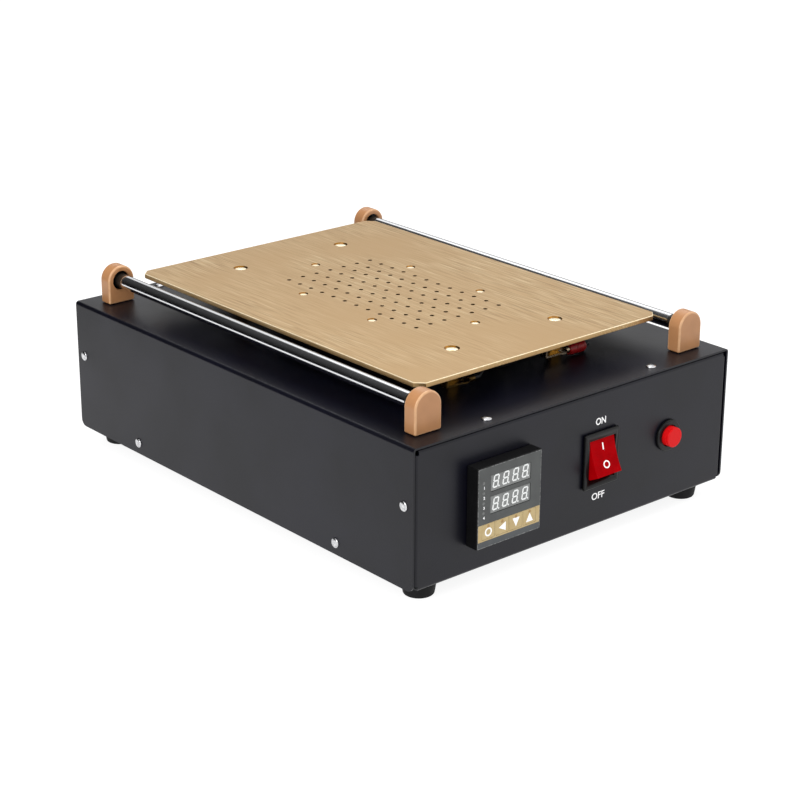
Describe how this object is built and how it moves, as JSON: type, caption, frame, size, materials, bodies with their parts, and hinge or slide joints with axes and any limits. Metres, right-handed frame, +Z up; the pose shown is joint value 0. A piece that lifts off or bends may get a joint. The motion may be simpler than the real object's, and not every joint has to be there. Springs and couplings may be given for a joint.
{
  "type": "screen separator machine",
  "caption": "Desktop heated suction plate for separating screens: perforated plate between two guide rods on a steel box with a temperature controller, a rocker switch and a push-button.",
  "frame": {"origin": "middle of the machine's outline, on the plane of the feet's soles", "axes": "+X to the right as seen from the controls, +Y from the front panel to the rear panel, +Z up"},
  "size_m": [0.25, 0.3398, 0.1193],
  "materials": {
    "black_coat": "satin powder coat",
    "rubber": "matte",
    "tan_plastic": "satin moulding",
    "steel": "zinc plated",
    "chrome": "ground and hard chromed",
    "gold_plate": "gold anodised, brushed",
    "brass": "turned",
    "mica": "laminate",
    "aluminium": "plain",
    "silicone": "matte",
    "white_cable": "braided glass sheath",
    "black_cable": "satin sheath",
    "black_plastic": "fine satin",
    "board_green": "solder mask",
    "display_lens": "smoked",
    "fascia_film": "printed film",
    "key_film": "printed film",
    "red_plastic": "gloss"
  },
  "bodies": {
    "cabinet": {"base_tray": "black_coat", "top_cover": "black_coat", "foot_front_left": "rubber", "foot_front_right": "rubber", "foot_rear_left": "rubber", "foot_rear_right": "rubber", "hose_grommet": "rubber", "lead_grommet": "rubber", "rail_block_front_left": "tan_plastic", "rail_block_front_right": "tan_plastic", "rail_block_rear_left": "tan_plastic", "rail_block_rear_right": "tan_plastic", "rail_bearing_front_left": "steel", "rail_bearing_front_right": "steel", "rail_bearing_rear_left": "steel", "rail_bearing_rear_right": "steel", "heater_backing_plate": "steel", "thermocouple_probe": "steel", "pump_motor": "steel", "pump_bracket": "steel", "heating_plate": "gold_plate", "plate_screw_front_left": "brass", "plate_screw_front_right": "brass", "plate_screw_rear_left": "brass", "plate_screw_rear_right": "brass", "plate_standoff_front_left": "brass", "plate_standoff_front_right": "brass", "plate_standoff_rear_left": "brass", "plate_standoff_rear_right": "brass", "suction_fitting": "brass", "heater_terminal_left": "brass", "heater_terminal_right": "brass", "heater_element": "mica", "suction_chamber": "aluminium", "pump_head_cover": "aluminium", "chamber_gasket": "silicone", "suction_hose": "silicone", "thermocouple_lead": "white_cable", "heater_lead_left": "black_cable", "heater_lead_right": "black_cable", "mains_lead": "black_cable", "controller_case": "black_plastic", "controller_clamp": "black_plastic", "rocker_housing": "black_plastic", "button_housing": "black_plastic", "button_nut": "black_plastic", "mains_inlet": "black_plastic", "pump_head": "black_plastic", "solid_state_relay": "black_plastic", "power_supply_board": "board_green", "display_lens": "display_lens", "controller_fascia": "fascia_film"},
    "rod_left": {"rail_rod_left": "chrome"},
    "rod_right": {"rail_rod_right": "chrome"},
    "rocker": {"power_rocker": "red_plastic"},
    "button": {"suction_button": "red_plastic"},
    "key_set": {"controller_key_set": "key_film"},
    "key_shift": {"controller_key_shift": "key_film"},
    "key_down": {"controller_key_down": "key_film"},
    "key_up": {"controller_key_up": "key_film"}
  },
  "joints": [
    {"name": "rod_left_spin", "type": "hinge", "parent": "cabinet", "child": "rod_left", "pos_m": [-0.1038, 0.00305, 0.1098], "axis": [0, 1, 0], "continuous": true},
    {"name": "rod_right_spin", "type": "hinge", "parent": "cabinet", "child": "rod_right", "pos_m": [0.1038, 0.00305, 0.1098], "axis": [0, 1, 0], "continuous": true},
    {"name": "rocker_tilt", "type": "hinge", "parent": "cabinet", "child": "rocker", "pos_m": [0.0168, -0.16004, 0.053], "axis": [1, 0, 0], "range_deg": [0, 40]},
    {"name": "button_press", "type": "slide", "parent": "cabinet", "child": "button", "axis": [0, 1, 0], "range_m": [0, 0.003], "stiffness_N_per_m": 500, "springref_m": -0.002},
    {"name": "key_set_press", "type": "slide", "parent": "cabinet", "child": "key_set", "axis": [0, 1, 0], "range_m": [0, 0.0005], "stiffness_N_per_m": 2000, "springref_m": -0.0004},
    {"name": "key_shift_press", "type": "slide", "parent": "cabinet", "child": "key_shift", "axis": [0, 1, 0], "range_m": [0, 0.0005], "stiffness_N_per_m": 2000, "springref_m": -0.0004},
    {"name": "key_down_press", "type": "slide", "parent": "cabinet", "child": "key_down", "axis": [0, 1, 0], "range_m": [0, 0.0005], "stiffness_N_per_m": 2000, "springref_m": -0.0004},
    {"name": "key_up_press", "type": "slide", "parent": "cabinet", "child": "key_up", "axis": [0, 1, 0], "range_m": [0, 0.0005], "stiffness_N_per_m": 2000, "springref_m": -0.0004}
  ]
}
